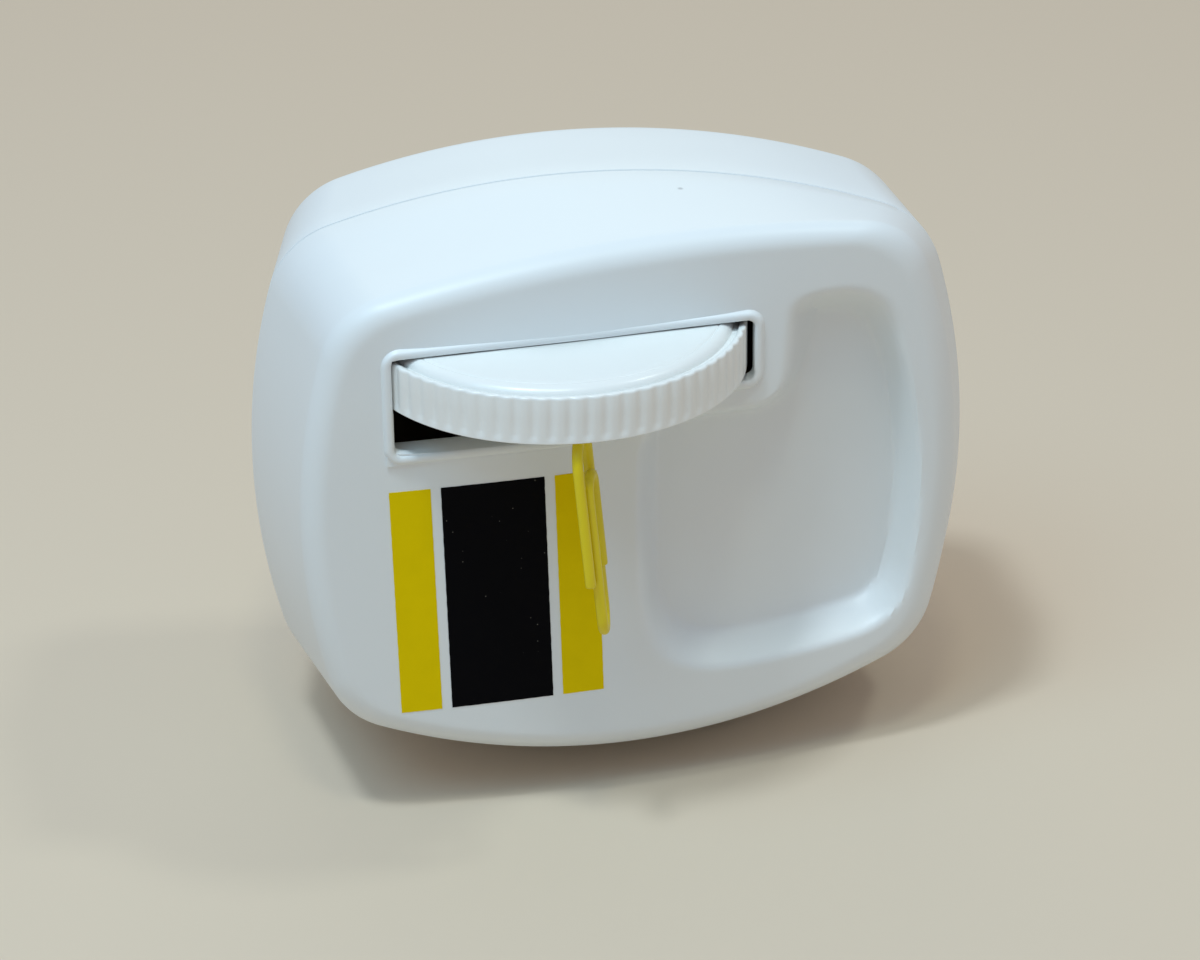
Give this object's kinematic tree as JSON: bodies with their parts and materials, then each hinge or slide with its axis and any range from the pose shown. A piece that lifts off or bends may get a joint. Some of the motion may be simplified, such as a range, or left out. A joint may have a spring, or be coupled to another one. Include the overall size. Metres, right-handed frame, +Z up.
{
  "type": "paper clip dispenser",
  "caption": "Desk paper clip dispenser: a rounded white body with a finger tray and a ribbed magnetic wheel in a slot that carries out one clip at a time.",
  "frame": {"origin": "middle of the overall width and depth, at the level of the table", "axes": "+X to the right seen from the front, +Y to the back, +Z up"},
  "size_m": [0.109, 0.0764, 0.0906],
  "materials": {
    "white_plastic": "satin moulded ABS",
    "wheel_plastic": "glossy moulded ABS",
    "bridge_plastic": "plain moulded",
    "washer_plastic": "plain acetal",
    "steel": "bright zinc",
    "magnet": "sintered ferrite",
    "rubber": "matte",
    "yellow_ink": "printed",
    "black_ink": "printed",
    "clip_vinyl": "vinyl coat on steel wire"
  },
  "bodies": {
    "body": {"front_shell": "white_plastic", "foot_front_left": "rubber", "foot_front_right": "rubber", "wheel_bridge": "bridge_plastic", "bridge_screws": "steel", "axle_pin": "steel", "thrust_washer": "washer_plastic", "push_nut": "steel", "stripe_left": "yellow_ink", "black_panel": "black_ink", "stripe_right": "yellow_ink"},
    "wheel": {"wheel_rim": "wheel_plastic", "wheel_cap": "wheel_plastic", "magnet_1": "magnet", "magnet_2": "magnet", "magnet_3": "magnet", "magnet_4": "magnet", "magnet_5": "magnet", "magnet_6": "magnet"},
    "rear_cover": {"rear_cover": "white_plastic", "foot_rear_left": "rubber", "foot_rear_right": "rubber"},
    "paper_clip": {"paper_clip": "clip_vinyl"}
  },
  "joints": [
    {"name": "wheel_turn", "type": "hinge", "parent": "body", "child": "wheel", "pos_m": [-0.0091, -0.0099, 0.0715], "axis": [0, 0, 1], "continuous": true},
    {"name": "cover_pull", "type": "slide", "parent": "body", "child": "rear_cover", "axis": [0, 1, 0], "range_m": [0, 0.06]},
    {"name": "clip_pull", "type": "slide", "parent": "body", "child": "paper_clip", "axis": [0, -1, 0], "range_m": [0, 0.06]}
  ]
}
